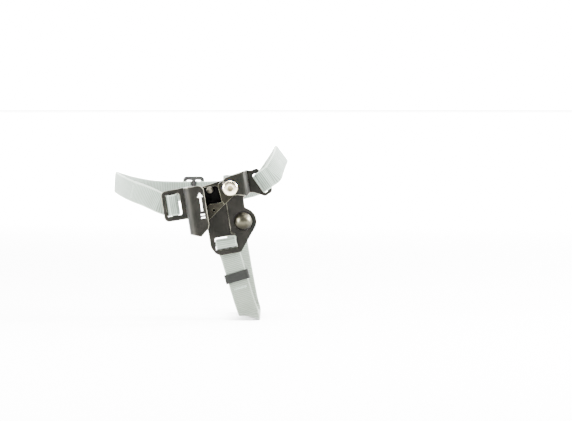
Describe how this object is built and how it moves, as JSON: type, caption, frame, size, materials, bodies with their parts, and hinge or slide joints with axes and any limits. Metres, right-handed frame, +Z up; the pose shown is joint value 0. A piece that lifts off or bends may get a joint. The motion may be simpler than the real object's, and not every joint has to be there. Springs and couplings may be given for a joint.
{
  "type": "foot ascender with ankle and under-foot straps",
  "caption": "Foot ascender: a toothed cam rope clamp on a folded alloy frame, with webbing that holds it at the inner side of a boot, round the ankle and under the sole.",
  "frame": {"origin": "middle of the upper face of the under-foot strap, where the boot's sole rests on it", "axes": "+X towards the toes, +Z up the leg, the clamp on the -Y side, which is the inner side of a left foot"},
  "size_m": [0.1419, 0.1222, 0.14],
  "materials": {
    "alloy": "dark satin anodised",
    "cam_steel": "satin, slightly tarnished",
    "polished_steel": "polished",
    "satin_steel": "satin",
    "webbing": "pale grey ribbed nylon webbing",
    "keeper_rubber": "matt",
    "slide_plastic": "matt"
  },
  "bodies": {
    "frame": {"body": "alloy", "pivot_rivet": "polished_steel", "spring_pin": "polished_steel", "dome_stud": "satin_steel", "ankle_strap": "webbing", "sole_strap": "webbing", "keeper": "keeper_rubber", "strap_slide": "slide_plastic"},
    "cam": {"cam": "cam_steel"}
  },
  "joints": [
    {"name": "cam_pivot", "type": "hinge", "parent": "frame", "child": "cam", "pos_m": [-0.0156, -0.0484, 0.1031], "axis": [0, -1, 0], "range_deg": [0, 25], "stiffness_Nm_per_rad": 0.03, "springref_deg": -34.38}
  ]
}
